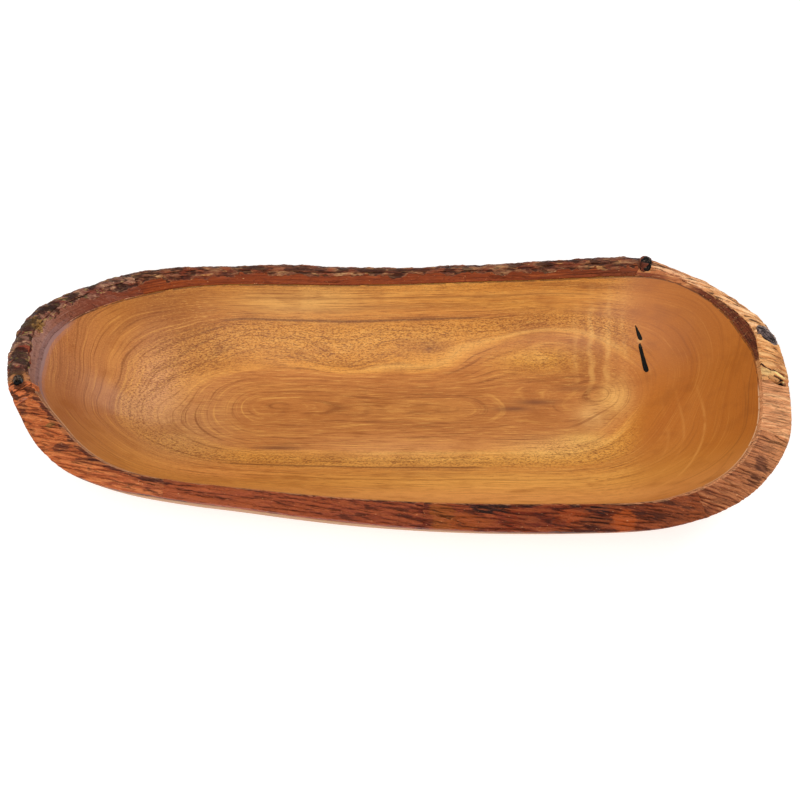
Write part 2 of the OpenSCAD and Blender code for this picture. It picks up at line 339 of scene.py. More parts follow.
# %% Relief for crust and for ridges
swell = pattern("CLOUDS", 14 * MM, noise_depth=2)
scales = pattern("VORONOI", 3.2 * MM, weight_1=-1, weight_2=1)
crags = pattern("CLOUDS", 4.0 * MM, noise_depth=3)
ridges = pattern("CLOUDS", 2.8 * MM, noise_depth=2, noise_type="HARD_NOISE")
fibres_fine = pattern("CLOUDS", 1.3 * MM, noise_depth=2)


def crust_relief(coarse):
    """Plates and crags, from a thin crust at 1 to a thick one at 2."""
    def long(share):
        return (share * coarse, coarse, coarse)

    return [(swell, 1.8 * MM, dict(stretch=(2, 1, 1))),
            (scales, 1.4 * coarse * MM, dict(stretch=long(3), middle=0.30)),
            (crags, 1.6 * coarse * MM, dict(stretch=long(2), middle=0.45)),
            (fibres_fine, 0.9 * MM, dict(stretch=(3, 1, 1)))]


def ridge_relief(height):
    """Long ridges between sharp cracks."""
    return [(swell, 1.4 * MM, dict(stretch=(2, 1, 1), direction="Z")),
            (ridges, height * MM, dict(stretch=(11, 1, 2), middle=0.25, direction="Z")),
            (fibres_fine, 0.9 * MM, dict(stretch=(9, 1, 2), direction="Z"))]


# %% [markdown]
# ## A splinter, a split, and what the finishes need to know
#
# At the right end a splinter stands up beside the split that it left. Both are pressed into the
# finished relief with proportional editing, as with a soft brush. Then each point keeps three
# numbers: its lift, which is how far the relief has moved it, its depth, which is how far it
# lies from the wood, and its crest, which is how far it lies from the face that the hollow cut.

# %% Pressing
def press(piece, start, end, amount, width):
    """Grabs the points along a line, as with a wide soft brush, and moves them up or down."""
    line = end - start
    near = set()
    for vertex in piece.data.vertices:
        share = min(1.0, max(0.0, (vertex.co - start).dot(line) / line.length_squared))
        aside = (vertex.co - start - line * share).xy.length
        if aside < width / 3 and vertex.normal.z > LOOKS_UP:
            near.add(vertex.index)
    if not near:
        return
    pick_faces(piece, lambda face: not near.isdisjoint(face.vertices))
    bpy.ops.transform.translate(value=(0, 0, amount), use_proportional_edit=True,
                                proportional_edit_falloff="SMOOTH", proportional_size=width,
                                use_proportional_connected=True)
    bpy.ops.object.mode_set(mode="OBJECT")


# %% Measuring
SURELY_CUT = 0.5  # a face this square to the hollow is part of the cut
LIFT_UNIT = 1.5  # a lift of 1 is this many times the relief's root mean square


def cut_face(piece):
    """A tree of the faces where the hollow has cut through the bark."""
    corners = [tuple(face.vertices) for face in piece.data.polygons
               if face.normal.dot(inward(face.center)) > SURELY_CUT]
    return BVHTree.FromPolygons([v.co for v in piece.data.vertices], corners)


def measure(piece, before, normals, cut):
    """Holds the piece inside the CAD box, and keeps each point's lift as a share of the usual
    one, and its depth and crest in mm."""
    low, high = cad_box
    lifts, depths, crests = [], [], []
    for vertex, start, normal in zip(piece.data.vertices, before, normals):
        vertex.co = [min(top, max(bottom, v)) for v, bottom, top in zip(vertex.co, low, high)]
        lifts.append((vertex.co - start).dot(normal) / MM)
        depths.append(wood_tree.find_nearest(start)[3] / MM)
        crests.append((cut.find_nearest(start)[3] or 0.0) / MM)
    usual = math.sqrt(sum(value * value for value in lifts) / len(lifts)) * LIFT_UNIT
    keep(piece, "lift", [value / usual for value in lifts])
    keep(piece, "depth", depths)
    keep(piece, "crest", crests)
    print("bark from %.1f to %.1f mm deep, moved by %.1f to %.1f mm"
          % (min(depths), max(depths), min(lifts), max(lifts)))


def weather(piece, moves, grain, crust_edge=None, dents=()):
    """Roughens a piece by several patterns in turn. The first is a broad swell, and the lift is
    measured from there."""
    rough_group(piece, crust_edge)
    for i, (texture, height, settings) in enumerate(moves):
        displace(piece, texture, height, grain, **settings)
        if i == 0:
            before = [v.co.copy() for v in piece.data.vertices]
            normals = [v.normal.copy() for v in piece.data.vertices]
            cut = cut_face(piece)
    for start, end, amount, width in dents:
        press(piece, Vector(start) * MM, Vector(end) * MM, amount * MM, width * MM)
    measure(piece, before, normals, cut)
    report(piece)


# %% What each stretch is like
SPLINTER = ((268.5, 4.4, 83), (276.0, 0.0, 82), 1.2, 1.6)  # its ends, how far it stands up, width
SPLIT = ((267.0, 0.6, 83), (275.0, -2.6, 82), -2.8, 2.2)  # the hole that it left
REAR_EDGE, LEFT_EDGE = 7.0, 8.2  # how deep the inner bark is before the crust starts
STRETCHES = [  # node, slot, voxel in mm, slope of the fibres, relief, what only this one has
    ("rear_inner_bark", "cut_bark", 0.56, 0.0, crust_relief(1.2), dict(crust_edge=REAR_EDGE)),
    ("rear_crust", "dark_crust", 0.5, 0.0, crust_relief(1.2), dict(crust_edge=REAR_EDGE)),
    ("left_inner_bark", "grey_cut_bark", 0.5, 0.0, crust_relief(1.9), dict(crust_edge=LEFT_EDGE)),
    ("left_crust", "dark_crust", 0.5, 0.0, crust_relief(1.9), dict(crust_edge=LEFT_EDGE)),
    ("left_front_bark", "orange_bark", 0.5, 0.25, ridge_relief(2.8), {}),
    ("front_left_bark", "front_bark", 0.5, 0.15, ridge_relief(2.6), {}),
    ("front_right_bark", "front_bark", 0.5, 0.10, ridge_relief(3.0), {}),
    ("right_front_bark", "ridged_bark", 0.45, 0.28, ridge_relief(4.2), {}),
    ("right_end_bark", "pale_bark", 0.45, 0.10, ridge_relief(3.4), dict(dents=[SPLIT])),
    ("right_inner_bark", "cut_bark", 0.5, 0.30, ridge_relief(2.0), {}),
    ("right_side_bark", "pale_bark", 0.45, 0.30, ridge_relief(3.6), dict(dents=[SPLIT, SPLINTER])),
    ("right_rear_bark", "pale_bark", 0.5, 0.45, ridge_relief(4.2), {})]

# %% Growing and weathering them
stretches, grains = {}, {}
for node, slot, voxel, slope, relief, more in STRETCHES:
    piece = bark(node, node.replace("_bark", "_strip").replace("crust", "crust_strip"), voxel * MM)
    grains[node] = fibres(piece, slope)
    weather(piece, relief, grains[node], **more)
    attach(piece, "root")
    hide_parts(node)
    stretches[node] = piece
    print("fibres run along", [round(v, 2) for v in grains[node][0]])
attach(wood, "root")
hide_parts("bowl_body")

# %% [markdown]
# ## Knots and the filled crack
#
# A dead knot is a branch stub that the tree has grown round. Its copy is remeshed and weathered
# like the bark. The rear one also keeps the dark collar of bark that once grew up the branch,
# which is a ring with a gap. The crack is filled flush, so its filling hugs the wall just above
# the wood.

# %% A knot
ALL_OVER = -9.0  # a crust edge so deep in the wood that the whole piece weathers
FINE_VOXEL = 0.4 * MM


def knot(node, name, relief, grain, joined_to=None):
    """A weathered copy of a knot, in one skin with what is joined to it."""
    piece = copy_of(node, name)
    if joined_to:
        only(piece)
        joined_to.select_set(True)
        bpy.ops.object.join()
    modify(piece, "REMESH", mode="VOXEL", voxel_size=FINE_VOXEL, use_smooth_shade=True)
    modify(piece, "SMOOTH", factor=0.5, iterations=4)
    weather(piece, relief, grain, crust_edge=ALL_OVER)
    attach(piece, "root")
    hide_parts(node)
    return piece


# %% A collar
TIP_SIZE, TIP_REACH = 0.35, 1.3  # how thin its ends are, and over how many radii they taper


def open_ring(centre, radius, tube, tall, tilt, gap):
    """A ring of round bar with a gap and thin ends, tilted about X. The gap is in degrees."""
    bpy.ops.object.select_all(action="DESELECT")
    bpy.ops.mesh.primitive_torus_add(major_radius=radius, minor_radius=tube, major_segments=60,
                                     minor_segments=14)
    ring = bpy.context.active_object
    start, end = (math.radians(angle) for angle in gap)
    pick_faces(ring, lambda face: start < math.atan2(face.center.y, face.center.x) % math.tau < end)
    bpy.ops.mesh.delete(type="FACE")
    bpy.ops.mesh.select_all(action="SELECT")
    bpy.ops.mesh.fill_holes(sides=0)
    for angle in (start, end):
        tip = Vector((math.cos(angle), math.sin(angle), 0)) * radius
        bpy.ops.object.mode_set(mode="OBJECT")
        pick_faces(ring, lambda face: len(face.vertices) > 4 and (face.center - tip).length < tube)
        bpy.ops.transform.resize(value=(TIP_SIZE, TIP_SIZE, TIP_SIZE), center_override=tip,
                                 use_proportional_edit=True, proportional_edit_falloff="SMOOTH",
                                 proportional_size=radius * TIP_REACH)
    bpy.ops.object.mode_set(mode="OBJECT")
    ring.scale.y = tall
    ring.rotation_euler.x = tilt
    ring.location = centre
    bpy.ops.object.transform_apply(location=True, rotation=True, scale=True)
    return ring


# %% The three dead knots
grit = pattern("CLOUDS", 1.5 * MM, noise_depth=2)
ROUND_THE_END = Matrix.Rotation(math.radians(43), 3, "Z")  # the rim's direction at the right knot
KNOT_RELIEF = [(swell, 0.6 * MM, {}),
               (ridges, 2.2 * MM, dict(stretch=(3, 1, 1), middle=0.3)),
               (grit, 0.8 * MM, {})]
WORN_RELIEF = [(swell, 0.4 * MM, {}), (grit, 0.7 * MM, {})]
COLLAR_REACH, COLLAR_FADE = 0.9, 0.4  # mm from the collar where its colour ends, mm of fading
right_knot = knot("right_knot", "right_knot_stub", KNOT_RELIEF, ROUND_THE_END)
left_knot = knot("left_knot", "left_knot_stub", KNOT_RELIEF, ROUND_THE_END)
collar = open_ring(Vector((182.2, 100.6, 81.1)) * MM, radius=3.0 * MM, tube=1.6 * MM, tall=1.3,
                   tilt=math.radians(42), gap=(135, 262))
collar_tree = BVHTree.FromObject(collar, bpy.context.evaluated_depsgraph_get())
rear_knot = knot("rear_knot", "rear_knot_stub", WORN_RELIEF, ROUND_THE_END, joined_to=collar)
gaps = [collar_tree.find_nearest(v.co)[3] / MM for v in rear_knot.data.vertices]
keep(rear_knot, "collar", [min(1.0, max(0.0, (COLLAR_REACH - gap) / COLLAR_FADE)) for gap in gaps])

# %% The filled crack and the pin knot
FILLING_RISE, PIN_RISE = 0.25 * MM, 0.05 * MM
NEAR_THE_FACE = 0.5 * MM


def hug_the_wood(node, name, height):
    """A copy whose outer face lies this far above the wood, and follows it."""
    piece = copy_of(node, name)
    modify(piece, "REMESH", mode="VOXEL", voxel_size=FINE_VOXEL, use_smooth_shade=True)
    group = piece.vertex_groups.new(name="face")
    group.add([v.index for v in piece.data.vertices
               if wood_tree.find_nearest(v.co)[3] < NEAR_THE_FACE], 1.0, "REPLACE")
    modify(piece, "SHRINKWRAP", target=wood, wrap_method="NEAREST_SURFACEPOINT",
           wrap_mode="ABOVE_SURFACE", offset=height, vertex_group="face")
    modify(piece, "SMOOTH", factor=0.5, iterations=3)
    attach(piece, "root")
    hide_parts(node)
    report(piece)
    return piece


fills = [hug_the_wood("crack_fill_long", "crack_resin_long", FILLING_RISE),
         hug_the_wood("crack_fill_short", "crack_resin_short", FILLING_RISE)]
pin_knot = hug_the_wood("pin_knot", "pin_knot_face", PIN_RISE)

# %% [markdown]
# ## Materials
#
# A material is written here as sums. A socket that carries a number is wrapped in a small class,
# so that 1 - mask or lines * depth adds its Math nodes. Colours go through Mix nodes. All
# patterns read Object coordinates in millimetres, so a number in them is a real size.

# %% Shader maths
class Value:
    """A number, vector or colour that changes over the surface, on one output socket."""
    def __init__(self, shade, socket):
        self.shade = shade
        self.socket = socket

    def math(self, operation, *others):
        return self.shade.math(operation, self, *others)

    def __add__(self, other):
        return self.math("ADD", other)

    def __sub__(self, other):
        return self.math("SUBTRACT", other)

    def __mul__(self, other):
        return self.math("MULTIPLY", other)

    def __truediv__(self, other):
        return self.math("DIVIDE", other)

    def __neg__(self):
        return self.math("MULTIPLY", -1.0)

    def __radd__(self, other):
        return self.math("ADD", other)

    def __rmul__(self, other):
        return self.math("MULTIPLY", other)

    def __rsub__(self, other):
        return self.shade.math("SUBTRACT", other, self)


COAT_ROUGHNESS = 0.3


def tone(code):
    """A colour from its six-digit screen code, as the linear light that shaders use."""
    parts = [int(code[i:i + 2], 16) / 255 for i in (0, 2, 4)]
    return (*[p / 12.92 if p <= 0.04045 else ((p + 0.055) / 1.055) ** 2.4 for p in parts], 1)


class Shade:
    """One material in the making."""
    def __init__(self, name):
        self.material = bpy.data.materials.new(name)
        self.material.use_nodes = True
        self.tree = self.material.node_tree
        self.tree.nodes.clear()
        where = self.node("ShaderNodeTexCoord", out="Object")
        self.place = self.node("ShaderNodeVectorMath", {"operation": "SCALE"},
                               {0: where, 3: 1 / MM})
        self.x, self.y, self.z = (self.node("ShaderNodeSeparateXYZ", {}, {0: self.place}, out=i)
                                  for i in range(3))

    def node(self, kind, settings=None, values=None, out=0):
        """Adds a node, with its settings first and then its sockets, and gives one output."""
        made = self.tree.nodes.new(kind)
        for key, value in (settings or {}).items():
            if key == "stops":
                self.set_stops(made.color_ramp, value)
            else:
                setattr(made, key, value)
        for key, value in (values or {}).items():
            if isinstance(value, Value):
                self.tree.links.new(value.socket, made.inputs[key])
            else:
                made.inputs[key].default_value = value
        return Value(self, made.outputs[out])

    def math(self, operation, *operands):
        return self.node("ShaderNodeMath", {"operation": operation}, dict(enumerate(operands)))

    @staticmethod
    def set_stops(ramp, stops):
        while len(ramp.elements) < len(stops):
            ramp.elements.new(1.0)
        for element, (position, colour) in zip(ramp.elements, stops):
            element.position, element.color = position, colour

    def mix(self, a, b, share, blend="MIX"):
        return self.node("ShaderNodeMix", {"data_type": "RGBA", "blend_type": blend},
                         {0: share, 6: a, 7: b}, out=2)

    def vary(self, colour, pattern_value, darker, lighter):
        """Darker where the pattern is high and lighter where it is low. Each of the two is a tone,
        where it starts, where it is full, and its share."""
        for code, start, full, share in (darker, lighter):
            colour = self.mix(colour, tone(code), self.step(pattern_value, start, full) * share)
        return colour

    def joined(self, x, y, z):
        return self.node("ShaderNodeCombineXYZ", {}, {0: x, 1: y, 2: z})

    def toward(self, axis):
        """How far a point lies in this direction, in mm."""
        return self.node("ShaderNodeVectorMath", {"operation": "DOT_PRODUCT"},
                         {0: self.place, 1: tuple(axis)}, out="Value")

    def stretched(self, along, across):
        """Coordinates in these lengths of mm, so that a pattern of scale 1 has that grain."""
        return self.node("ShaderNodeVectorMath", {"operation": "MULTIPLY"},
                         {0: self.place, 1: (1 / along, 1 / across, 1 / across)})

    def noise(self, vector, detail=2.0, roughness=0.5, distortion=0.0):
        return self.node("ShaderNodeTexNoise", {}, {
            "Vector": vector, "Scale": 1.0, "Detail": detail, "Roughness": roughness,
            "Distortion": distortion})

    def step(self, value, low, high):
        """0 at low, 1 at high, and a smooth step between them."""
        return self.node("ShaderNodeMapRange", {"interpolation_type": "SMOOTHSTEP"},
                         {"Value": value, "From Min": low, "From Max": high})

    def bell(self, *offsets):
        """1 where every offset is 0, and falling off smoothly where any of them grows."""
        total = None
        for offset in offsets:
            square = offset * offset
            total = square if total is None else total + square
        return (-total).math("EXPONENT")

    def oval(self, x, y, length, width):
        """1 at this place of the plan, and falling off over this length and width in mm."""
        return self.bell((self.x - x) / length, (self.y - y) / width)

    def ramp(self, value, low, high, tones):
        """A colour read along a scale from low to high, with tones at these places on it."""
        share = (value - low) * (1 / (high - low))
        return self.node("ShaderNodeValToRGB", {"stops": [
            ((place - low) / (high - low), tone(code)) for place, code in tones]}, {0: share})

    def attribute(self, name):
        return self.node("ShaderNodeAttribute", {"attribute_name": name}, out="Fac")

    def finish(self, colour, roughness, bump=None, height=0.5, gloss=0.3, coat=0.0, glow=0.0):
        """Ends the material, with a bump of this height in mm."""
        values = {"Base Color": colour, "Roughness": roughness, "Specular IOR Level": gloss,
                  "Coat Weight": coat, "Coat Roughness": COAT_ROUGHNESS, "Emission Strength": glow}
        if bump is not None:
            values["Normal"] = self.node("ShaderNodeBump", {}, {
                "Height": bump, "Strength": 1.0, "Distance": height * MM})
        shader = self.node("ShaderNodeBsdfPrincipled", {}, values)
        output = self.tree.nodes.new("ShaderNodeOutputMaterial")
        self.tree.links.new(shader.socket, output.inputs["Surface"])
        return self.material


def paint(piece, material):
    """Gives a piece this material alone."""
    piece.data.materials.clear()
    piece.data.materials.append(material)


# %% [markdown]
# ## Lacquered wood
#
# Growth rings are shells round the tree's pith. The hollow cuts through them, and where the cut
# is shallow they spread into ovals. So the pattern isn't drawn on: it comes from one number, the
# distance to the pith, with a few swells where the tree's fibres really bend, such as round the
# pin knot. Bands, fine lines and pores are all read from that number and from the grain along X.

# %% The distance to the pith
PITH_Y, PITH_Z = 22.0, -30.0  # where the pith runs, in mm
SWELLS = [  # height, x, y, length, width
    (8, 14, 46, 52, 15), (8, -96, 50, 48, 16), (-5, 115, 70, 35, 18), (5, 108, 52, 24, 9),
    (-8, 153, 29, 16, 12), (-2, -82, 21, 30, 9), (4, 90, 18, 30, 15), (6.5, -38, 54, 30, 14),
    (1.5, 32, 53, 24, 12)]


def pith_distance(s):
    """The distance to the pith in mm, bent where the tree's fibres bend."""
    off = s.y - PITH_Y
    up = s.z - PITH_Z
    ring = (off * off + up * up).math("SQRT")
    ring = ring * (1 - 0.2 * s.step(off, 0.0, 60.0))
    ring = ring + 14.5 * s.step(-s.x, 95.0, 160.0) * s.bell(off / 38.0)
    ring = ring + 16.0 * s.step(s.x, 120.0, 205.0) * s.bell(s.y / 38.0)
    for height, x, y, length, width in SWELLS:
        ring = ring + height * s.oval(x, y, length, width)
    sway = s.noise(s.stretched(70, 25), detail=1.5)
    return ring + (sway - 0.5) * (1.0 + 2.0 * s.step(ring, 46.0, 56.0))


# %% [markdown]
# ## Bands, patches and lines of the wood
#
# The bands take their tones from the ring number, so they turn with the rings. On top come the
# marks that stand in one place only, each a soft oval: paler and darker patches of the wood and its
# lacquer, some of them painted sheen, a few short streaks, and some single lines that follow one
# ring or one height.

# %% Where the marks are
RING_TONES = [
    (40, "ba7230"), (50, "b46e30"), (56, "ba7333"), (62, "c27834"), (64.2, "dc933c"),
    (67, "d48a2e"), (70, "d0862a"), (75, "d0862e"), (76.5, "c2772a"), (79, "cc8232"),
    (88, "d08836"), (100, "ce862e"), (118, "cc802c"), (140, "c07428")]
# Painted sheen: the pale patch at (-174, 28) is a reflection on the lacquer; those at (160, 24) and
# (144, 10) are partly curly figure and partly its painted shimmer.
PATCHES = [  # x, y, length, width, tone, share
    (-165, 78, 46, 26, "8c4a0a", 0.75), (-120, 84, 30, 12, "b86c18", 0.5),
    (-66, 84.5, 52, 6.5, "eab868", 0.60), (96, 76, 28, 8, "a05c22", 0.50),
    (-40, 66, 80, 8, "d8922c", 0.50), (95, 84, 60, 3.5, "dd9a3c", 0.5),
    (-174, 28, 19, 32, "d69e7c", 0.50), (-208, 10, 11, 22, "a45c2a", 0.5),
    (-232, -8, 12, 40, "9a5426", 0.55), (-205, -30, 22, 22, "a45c28", 0.4),
    (-155, -5, 26, 30, "b88450", 0.45), (15, 15, 95, 16, "ac6a2c", 0.35),
    (108, 54, 34, 8, "d8952f", 0.75), (160, 24, 12, 13, "f4bc68", 0.65),
    (144, 10, 11, 10, "f2bc70", 0.65), (179, 61.5, 1.6, 1.2, "f0cc80", 0.80),
    (137, -11, 17, 7, "f0be62", 0.65), (112, -22, 28, 6, "eab458", 0.60),
    (143, 53, 15, 12, "9a5518", 0.55), (90, -52, 110, 14, "eeac50", 0.65),
    (60, -76, 190, 20, "faae60", 0.85), (0, -20, 70, 12, "dc9c5e", 0.55),
    (112, -16, 34, 9, "eeb266", 0.55), (203, 76, 18, 20, "ac600c", 0.45),
    (-125, -45, 55, 13, "f09a50", 0.5), (180, 70, 26, 24, "c07010", 0.55),
    (216, 50, 20, 24, "a0580c", 0.45), (40, -28, 90, 5, "e0a44c", 0.40),
    (186, -40, 30, 26, "c4802e", 0.35)]
STREAKS = [  # x, y, length, width, share
    (86, 17.0, 13, 2.2, 0.80), (103, 22.5, 15, 2.4, 0.80), (-84, -17, 17, 1.8, 0.75),
    (26, 61.6, 8, 4, 0.35), (132, 33, 16, 2.2, 0.45)]
RING_LINES = [  # ring, width, from x, to x, tone, share
    (76.0, 0.6, -130, 70, "6a3810", 0.80), (65.0, 0.8, -30, 175, "f0b860", 0.35),
    (88.6, 0.6, -120, 150, "7e4818", 0.45), (121.0, 0.6, 190, 270, "7a4212", 0.35)]
WALL_LINES = [  # z, width, tone, share
    (36.0, 0.5, "e8a450", 0.24), (44.0, 0.6, "e8a450", 0.42), (31.0, 0.5, "e8a450", 0.12),
    (67.0, 0.7, "7a4212", 0.25)]

# %% Tones and marks
def wood_tones(s, ring, right):
    """Bands from the ring number, and the patches."""
    busy = 0.45 + 0.55 * s.step(ring, 60.0, 66.0)
    broad = s.noise(s.joined(ring / 4.5, s.x / 170.0, s.z / 160.0), detail=2.0)
    colour = s.ramp(ring, 40.0, 140.0, RING_TONES)
    colour = s.vary(colour, broad, ("84440f", 0.50, 0.72, busy * 0.45),
                    ("ecaa50", 0.48, 0.28, busy * 0.40))
    middle_left = s.step(-s.x, 95.0, 140.0) * s.bell((s.y - 5.0) / 55.0)
    colour = s.mix(colour, tone("bd7f48"), middle_left * 0.55)
    colour = s.mix(colour, tone("ac5d15"), right * 0.80)
    colour = s.mix(colour, tone("a6623e"), s.step(-s.x, 190.0, 235.0) * 0.60)
    for x, y, length, width, code, share in PATCHES:
        colour = s.mix(colour, tone(code), s.oval(x, y, length, width) * share)
    return colour


def wood_marks(s, colour, ring, clouds):
    """Single lines along a ring or along the right end's wall, and short streaks."""
    for place, width, low, high, code, share in RING_LINES:
        held = s.step(s.x, low, low + 15.0) * s.step(s.x, high, high - 15.0)
        colour = s.mix(colour, tone(code), s.bell((ring - place) / width) * held * share)
    slow = s.noise(s.stretched(90, 60), detail=0.0)
    level = s.z + (slow - 0.5) * 12.0
    around = s.step(s.x, 170.0, 195.0) * s.step(s.y, 34.0, -16.0) * s.step(clouds, 0.30, 0.60)
    for height, width, code, share in WALL_LINES:
        colour = s.mix(colour, tone(code), s.bell((level - height) / width) * around * share)
    for x, y, length, width, share in STREAKS:
        colour = s.mix(colour, tone("74401f"), s.oval(x, y, length, width) * share)
    return colour


# %% [markdown]
# ## Curl and pores
#
# Curl is the rippled shine where fibres run in waves, painted into the colour here as bars of
# shine and shade: a sine along X, bent by noise and held to the rear right wall. Pores are the dark
# ends of open vessels, thickest in some bands, so their noise is let through by the ring number.

# %% Curl and pores
CURL_X, CURL_Y = 148.0, 60.0
CURL_WAVE = 1.93  # mm along X for each radian of the sine


def curl_sheen(s, colour, grain):
    """Painted bars of sheen and shade across the grain."""
    ripple = s.noise(s.stretched(12, 14), detail=2.0)
    held = s.noise(s.stretched(7, 9), detail=2.0)
    bars = (s.x / CURL_WAVE + ripple * 5.0).math("SINE")
    bars = bars * s.oval(CURL_X, CURL_Y, 22.0, 32.0)
    bars = bars * (0.5 + s.step(held, 0.34, 0.66) * 0.5)
    colour = s.mix(colour, tone("f0b660"), s.step(bars, 0.0, 0.9) * (0.25 + grain) * 0.55)
    return s.mix(colour, tone("945218"), s.step(bars, 0.0, -0.9) * 0.35)


def wood_pores(s, colour, ring, right):
    """Dark dots and a few lit ones between them. It also gives how deep the pores are."""
    dots = s.noise(s.stretched(1.9, 0.62), detail=2.0, roughness=0.65, distortion=0.6)
    others = s.oval(108, 54, 32.0, 9.0) + s.oval(128, -16, 30.0, 8.0)
    dense = s.bell((ring - 70.8) / 5.6) + others * 0.8
    rear = s.step(ring, 88.0, 96.0) * 0.45 * s.step(s.y, 0.0, 20.0)
    zone = (dense + rear) * (1 - right) + 0.10
    pore = s.step(dots, 0.53, 0.59) * zone.math("MINIMUM", 1.0)
    colour = s.mix(colour, tone("713804"), pore * 0.65)
    lit = s.step(dots, 0.47, 0.41) * dense.math("MINIMUM", 1.0) * (1 - right)
    return s.mix(colour, tone("f0b64e"), lit * 0.25), pore


# %% The wood's colour
def wood_colour(s, ring):
    """The colour of the wood, and the height of its grain."""
    right = s.step(s.x, 158.0, 186.0)
    left = s.step(-s.x, 150.0, 200.0)
    lines = s.noise(s.joined(ring / 0.9, s.x / 60.0, s.y / 80.0), detail=3.0, roughness=0.7)
    grain = s.noise(s.stretched(15, 0.55), detail=5.0, roughness=0.75)
    clouds = s.noise(s.stretched(30, 14), detail=3.0)
    lined = 1 - right * 0.6
    grained = (1 - right * 0.8) * (1 - left * 0.5)
    colour = wood_tones(s, ring, right)
    colour = s.vary(colour, lines, ("733708", 0.52, 0.70, lined * 0.60),
                    ("efae54", 0.46, 0.28, lined * 0.42))
    colour = s.vary(colour, grain, ("7a3c0e", 0.52, 0.66, grained * 0.65),
                    ("f4bb60", 0.46, 0.34, grained * 0.45))
    colour = s.mix(colour, tone("985214"), s.step(clouds, 0.50, 0.70) * 0.35)
    colour = wood_marks(s, colour, ring, clouds)
    colour = curl_sheen(s, colour, grain)
    colour, pore = wood_pores(s, colour, ring, right)
    return colour, lines * 0.35 + grain * 0.35 - pore * 0.8


def lacquered(s, colour, grain_relief):
    """Ends a material of wood under its thin satin lacquer."""
    return s.finish(colour, 0.48, bump=grain_relief, height=0.06, gloss=0.3, coat=0.10)


# %% [markdown]
# ## The wood's edge
#
# Where the wood meets the bark it shows a thin line: a painted highlight at the front, and dark
# at the rear. At the left end the wood thins out over the bark. The material can't know where the
# bark is, so each point of the wood keeps its distance from it.

# %% The wood's distance from the bark
FAR = 99.0  # mm, for points that aren't in the hollow
LOOKS_IN, LOOKS_OUT, LOOKS_DOWN = 0.05, -0.1, -0.3  # a normal in the hollow, outside, underneath


def edge_distance(vertex):
    """How far a point of the hollow is from the nearest bark, in mm."""
    if vertex.normal.dot(inward(vertex.co)) < LOOKS_IN:
        return FAR
    return min(tree.find_nearest(vertex.co)[3] for tree in bark_trees) / MM


def is_outside(vertex):
    """Whether a point is on the outer wall or under the bowl."""
    return vertex.normal.dot(inward(vertex.co)) < LOOKS_OUT or vertex.normal.z < LOOKS_DOWN


distances = [edge_distance(vertex) for vertex in wood.data.vertices]
keep(wood, "edge", distances)
keep(wood, "outside", [float(is_outside(vertex)) for vertex in wood.data.vertices])
print("points of the wood within 1 mm of the bark:", sum(distance < 1.0 for distance in distances))

# %% The wood's finish
s = Shade("lacquered_wood")
colour, grain_relief = wood_colour(s, pith_distance(s))
edge = s.attribute("edge")
edge_noise = s.noise(s.stretched(9, 3), detail=3.0)
front = s.step(-s.y, 0.0, 12.0)
# Painted highlight: a pale, broken line along the front edge of the wood, where the rim catches
# light.
pale = s.step(edge, 1.5, 0.7) * s.step(edge_noise, 0.30, 0.44) * front
dark = s.step(edge, 1.1, 0.3) * (1 - front) * s.step(edge_noise, 0.32, 0.50)
colour = s.mix(colour, tone("3a1a10"), dark * 0.75)
colour = s.mix(colour, tone("e9bf96"), pale * 0.75)
thinned = s.step(-s.x, 228.0, 242.0) * s.step(s.y, -24.0, -8.0)
rim = edge + (edge_noise - 0.5) * 1.5
colour = s.mix(colour, tone("a8705c"), s.step(rim, 6.5, 4.5) * thinned * 0.45)
colour = s.mix(colour, tone("8e6a66"), s.step(rim, 3.2, 2.4) * thinned * 0.80)
colour = s.mix(colour, tone("8a5e2c"), s.attribute("outside") * 0.55)
paint(wood, lacquered(s, colour, grain_relief))

# %% The pin knot's finish
PIN_X, PIN_Y = 26.0, 61.4
s = Shade("pin_knot")
colour, grain_relief = wood_colour(s, pith_distance(s))
eye = s.oval(PIN_X, PIN_Y, 2.6, 1.1)
halo = s.oval(PIN_X, PIN_Y, 5.0, 2.6)
colour = s.mix(s.mix(colour, tone("9a5f30"), halo * 0.6), tone("3c1e10"), eye * 0.85)
paint(pin_knot, lacquered(s, colour, grain_relief))

# %% The filling's finish
s = Shade("crack_resin")
smears = s.noise(s.stretched(1.2, 3.0), detail=3.0)
colour = s.mix(tone("060402"), tone("3a3020"), s.step(smears, 0.54, 0.66) * 0.5)
resin = s.finish(colour, 0.45, bump=smears, height=0.12, gloss=0.08)
for fill in fills:
    paint(fill, resin)

# %% [markdown]
# ## Bark finishes
#
# The finishes share one recipe: a tone that drifts along the bowl, so that neighbours meet in
# the same colour, streaks that follow the fibres, blots at their places, painted shade in crevices
# where the surface was pushed in, and painted highlights on crests where it was pushed out.

# %% Tones along the bowl
FRONT_TONES = [
    (-275, "c26e3e"), (-215, "b8663a"), (-150, "9c5636"), (-60, "965036"), (30, "84422c"),
    (80, "7c351b"), (150, "622a14"), (175, "70371c"), (215, "8e5434"), (260, "b07850")]
RIDGE_TONES = [(175, "74381f"), (215, "93573a"), (238, "ac7552"), (256, "c8926e"), (270, "deac82")]
CUT_TONES = [
    (-275, "9a7a70"), (-252, "94726a"), (-244, "8a5d4d"), (-234, "7a4a38"), (-218, "743f2e"),
    (-190, "76391f"), (-170, "783a20"), (-60, "8a4529"), (60, "864328"), (140, "7e4129"),
    (187, "80452c"), (225, "6a3626"), (260, "643022")]
PALE_TONES = [(170, "b87648"), (200, "c6875c"), (235, "cf9664"), (262, "d09a64")]
END_TONES = [(230, "b87a55"), (262, "c8906a")]

# %% One recipe for bark
CRACK_GAP = 1.2  # mm between long cracks
ENDS = 280.0  # mm from the middle to the bowl's ends


